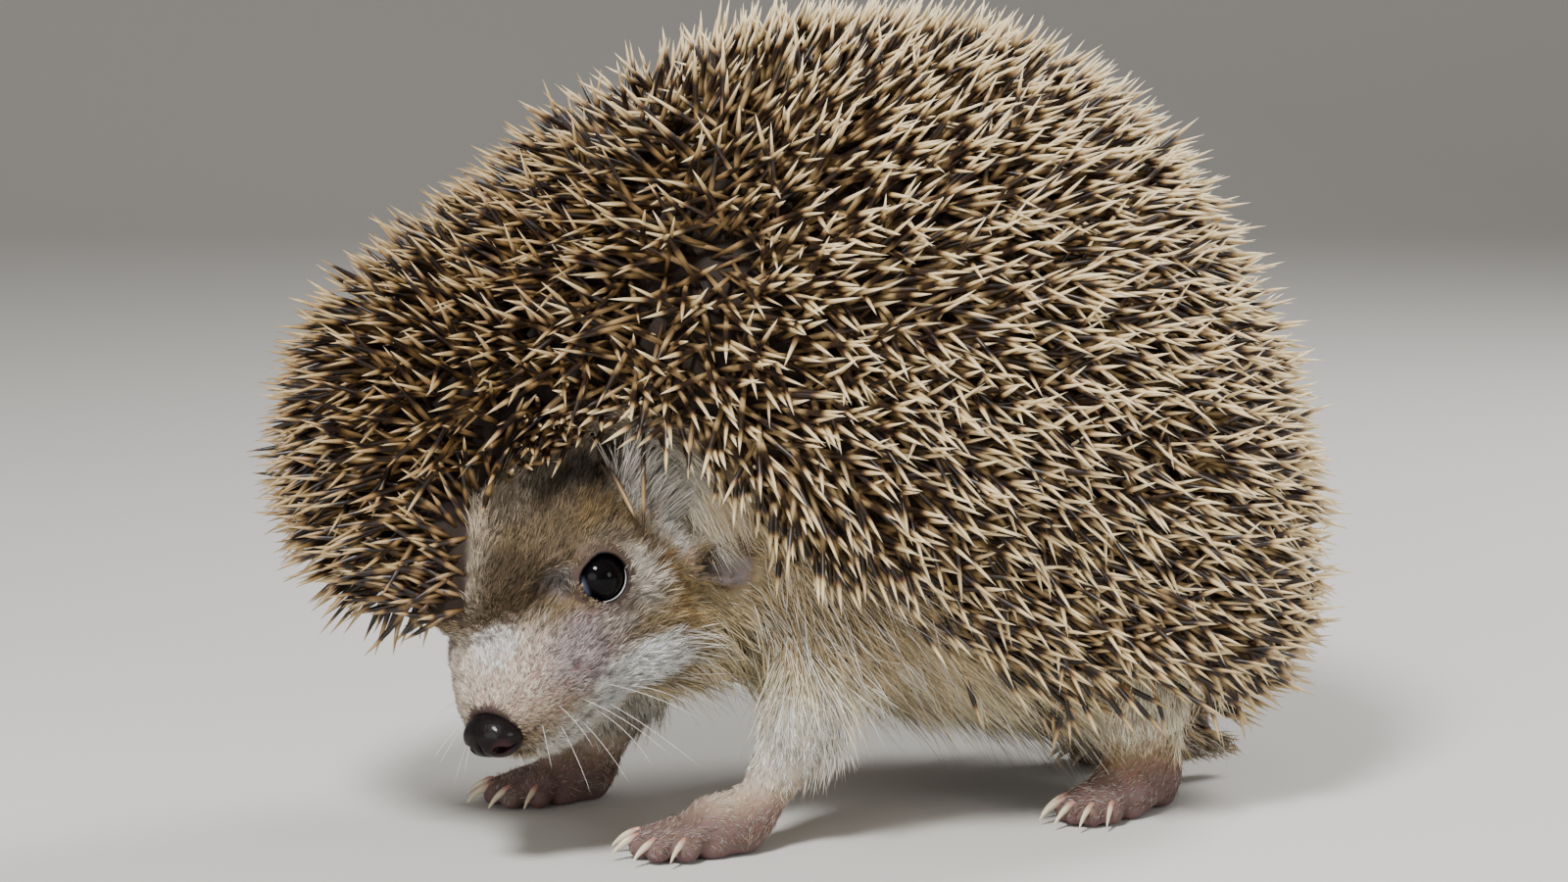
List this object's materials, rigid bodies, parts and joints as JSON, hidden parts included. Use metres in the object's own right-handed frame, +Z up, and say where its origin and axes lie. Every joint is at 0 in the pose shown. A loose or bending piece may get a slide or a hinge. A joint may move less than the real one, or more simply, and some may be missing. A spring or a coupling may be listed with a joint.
{
  "type": "hedgehog",
  "caption": "Life-size hedgehog standing with humped spiny back, spiny brow drawn forward like a hood, head lowered and turned to its left, short furred legs with clawed feet.",
  "frame": {"origin": "on the floor, under the middle of the bounding box", "axes": "+Z up, -Y ahead as the body faces, +X to the animal's left"},
  "size_m": [0.1038, 0.183, 0.1358],
  "materials": {
    "spines": "matt horny spines, dark brown banded, cream tips",
    "fur": "coarse fur, cream to golden brown",
    "face_fur": "short dense fur, tan brown, whitish on muzzle and cheek",
    "leg_fur": "soft fur, cream to light brown",
    "bare_skin": "bare skin, pinkish lilac",
    "ear_skin": "thin bare skin, lilac grey",
    "eye": "wet black gloss",
    "nose": "moist dark brown leathery skin",
    "claw": "cream horn, semi gloss"
  },
  "bodies": {
    "root": {"trunk": "spines", "tail": "fur", "neck": "fur", "head": "face_fur", "nose": "nose", "eye_left": "eye", "ear_left": "ear_skin", "eye_right": "eye", "ear_right": "ear_skin", "foreleg_left": "leg_fur", "forefoot_left": "bare_skin", "foreleg_right": "leg_fur", "forefoot_right": "bare_skin", "hindleg_left": "leg_fur", "hindfoot_left": "bare_skin", "hindleg_right": "leg_fur", "hindfoot_right": "bare_skin", "fore_claw_left_1": "claw", "fore_claw_left_2": "claw", "fore_claw_left_3": "claw", "fore_claw_left_4": "claw", "fore_claw_left_5": "claw", "fore_claw_right_1": "claw", "fore_claw_right_2": "claw", "fore_claw_right_3": "claw", "fore_claw_right_4": "claw", "fore_claw_right_5": "claw", "hind_claw_left_1": "claw", "hind_claw_left_2": "claw", "hind_claw_left_3": "claw", "hind_claw_left_4": "claw", "hind_claw_left_5": "claw", "hind_claw_right_1": "claw", "hind_claw_right_2": "claw", "hind_claw_right_3": "claw", "hind_claw_right_4": "claw", "hind_claw_right_5": "claw"}
  },
  "joints": []
}
